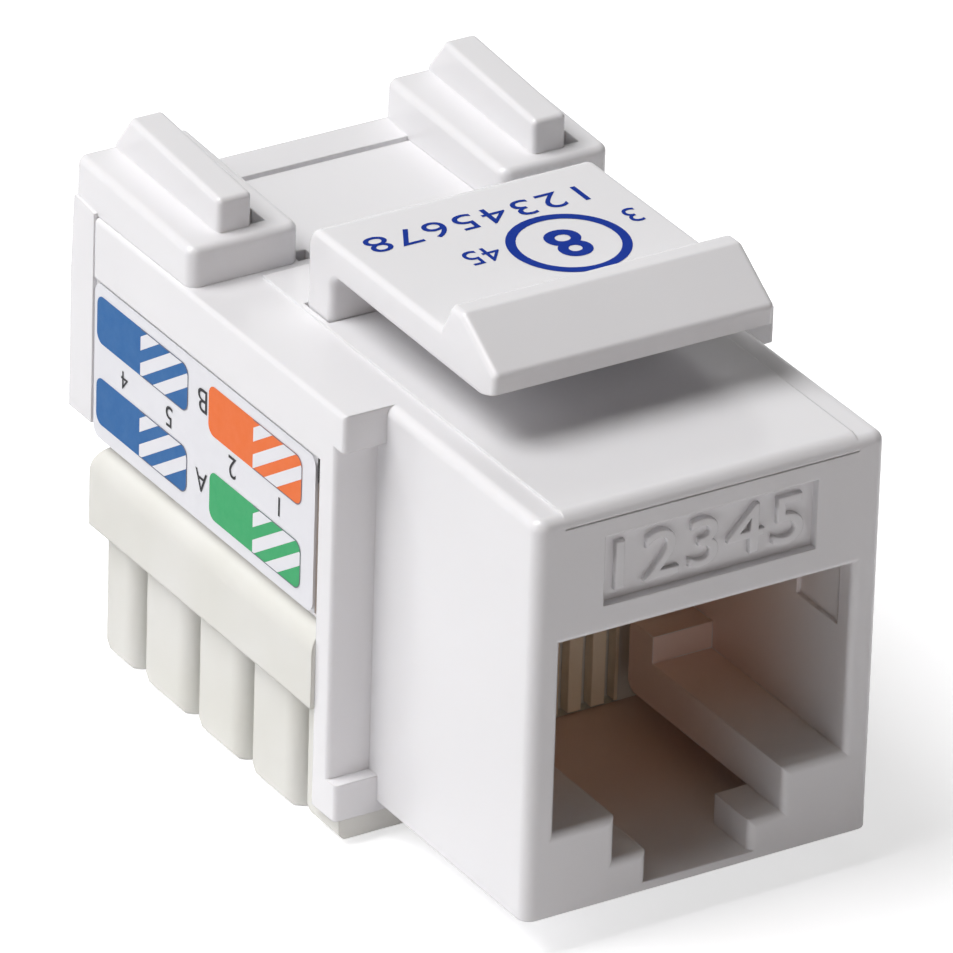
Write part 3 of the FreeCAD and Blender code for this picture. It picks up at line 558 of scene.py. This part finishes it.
# pad print on the latch, read from the rear: a ring round one figure, and the row of pin numbers
latchPrint = {
    "lift": 0.012, "belowRidge": 1.2, "ringX": 1.62, "ringY": 12.59, "ringRadius": 2.32,
    "ringLine": 0.38, "boldness": 0.2, "rowSpacing": 1.15,
    # what is printed, width where it is stretched or squeezed, height
    "ringText": ("8", None, 2.2), "row": ("12345678", 9.2, 1.2), "rowX": -0.4, "rowY": 15.78,
    # the same, then x and y; every x and y runs from the part's middle and its front face
    "sides": (("45", None, 1.1, -1.65, 13.2), ("3", None, 1.1, 4.86, 13.4))}
low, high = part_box("latch_arm")
latchTop = high.z - (latchPrint["belowRidge"] - latchPrint["lift"]) * mm


def onLatch(x, y):
    return (Matrix.Translation((x * mm, frontFace + y * mm, latchTop))
            @ Matrix.Rotation(math.pi, 4, "Z"))


navy = inks["navy"]
inRing = onLatch(latchPrint["ringX"], latchPrint["ringY"])
ring = flatMesh("ring", circle(latchPrint["ringRadius"]), navy,
                circle(latchPrint["ringRadius"] - latchPrint["ringLine"]))
figure = textMesh(*latchPrint["ringText"], navy, offset=latchPrint["boldness"] * mm)
row = textMesh(*latchPrint["row"], navy, space_character=latchPrint["rowSpacing"])
marks = [(ring, inRing), (figure, inRing), (row, onLatch(latchPrint["rowX"], latchPrint["rowY"]))]
for words, width, height, x, y in latchPrint["sides"]:
    marks.append((textMesh(words, width, height, navy), onLatch(x, y)))
joined("latch_print", marks, "latch")
print("latch print and plate figures made")

# a long lens from the front left and above
camera = {"lens": 456.56, "sensor": 36.0, "near": 10, "far": 20000,
          "place": (-210.164, -330.734, 220.809), "turn": (61.8072, -1.6009, -31.5096)}
eye = bpy.data.objects.new("camera", bpy.data.cameras.new("camera"))
scene.collection.objects.link(eye)
eye.data.lens = camera["lens"]
eye.data.sensor_width = camera["sensor"]
eye.data.clip_start = camera["near"] * mm
eye.data.clip_end = camera["far"] * mm
eye.location = [x * mm for x in camera["place"]]
eye.rotation_euler = [math.radians(a) for a in camera["turn"]]
scene.camera = eye

# a soft box above on the left, a fill from the left and a faint one in front
studio = {
    # watts, colour, size in metres, direction from the jack (x, y, z), distance in metres
    "key": (2.55, "#FFFFFF", 0.32, (-0.52, 0.22, 1.0), 0.5),
    "left": (0.45, "#FFFFFF", 0.34, (-1.0, 0.25, 0.42), 0.5),
    "front": (0.25, "#FFEEE4", 0.20, (-0.18, -1.0, 0.0), 0.5)}
centre = (cadBox[0] + cadBox[1]) / 2
for name, (power, colour, size, direction, distance) in studio.items():
    lamp = bpy.data.lights.new(name + "_softbox", "AREA")
    lamp.energy = power
    lamp.color = linear(colour)[:3]
    lamp.size = size
    holder = bpy.data.objects.new(name + "_softbox", lamp)
    scene.collection.objects.link(holder)
    aim = Vector(direction).normalized()
    holder.location = centre + aim * distance
    holder.rotation_euler = aim.to_track_quat("Z", "Y").to_euler()

# world and floor: white to the camera, straight or in a gloss, and dim to everything else
surroundings = {"roomColour": "#F2E2DA", "roomStrength": 0.05, "floorColour": "#E8E8EA",
                "floorRoughness": 0.9, "floorGlow": 0.62, "floorHalf": 3000, "floorDrop": 0.05}


def seenWhite(tree):
    ray = addNode(tree, "ShaderNodeLightPath").outputs
    mirrored = sums(tree, "MAXIMUM", ray["Is Glossy Ray"], ray["Is Transmission Ray"])
    return sums(tree, "MAXIMUM", ray["Is Camera Ray"], mirrored)


world = bpy.data.worlds.new("studio")
scene.world = world
world.use_nodes = True
tree = world.node_tree
tree.nodes.clear()
room = addNode(tree, "ShaderNodeBackground", inputs={
    "Color": linear(surroundings["roomColour"]), "Strength": surroundings["roomStrength"]})
white = addNode(tree, "ShaderNodeBackground", inputs={"Color": (1, 1, 1, 1), "Strength": 1.0})
shown = addNode(tree, "ShaderNodeMixShader", inputs={
    0: seenWhite(tree), 1: room.outputs["Background"], 2: white.outputs["Background"]})
addNode(tree, "ShaderNodeOutputWorld", inputs={"Surface": shown.outputs["Shader"]})

half = surroundings["floorHalf"] * mm
floorMesh = bpy.data.meshes.new("floor")
floorMesh.from_pydata([(-half, -half, 0), (half, -half, 0), (half, half, 0), (-half, half, 0)],
                      [], [(0, 1, 2, 3)])
floorPaint, tree, shader = newMaterial("pale_studio_floor", surroundings["floorColour"],
                                       surroundings["floorRoughness"])
glow = addNode(tree, "ShaderNodeEmission", inputs={
    "Color": (1, 1, 1, 1), "Strength": surroundings["floorGlow"]})
lit = addNode(tree, "ShaderNodeAddShader", inputs={
    0: shader.outputs["BSDF"], 1: glow.outputs["Emission"]})
seen = addNode(tree, "ShaderNodeMixShader", inputs={
    0: seenWhite(tree), 1: shader.outputs["BSDF"], 2: lit.outputs["Shader"]})
output = next(n for n in tree.nodes if n.type == "OUTPUT_MATERIAL")
tree.links.new(seen.outputs["Shader"], output.inputs["Surface"])
floorMesh.materials.append(floorPaint)
floor = bpy.data.objects.new("floor", floorMesh)
scene.collection.objects.link(floor)
floor.location.z = cadBox[0].z - surroundings["floorDrop"] * mm

scene.view_settings.view_transform = "Standard"
print("camera, lights and floor set")
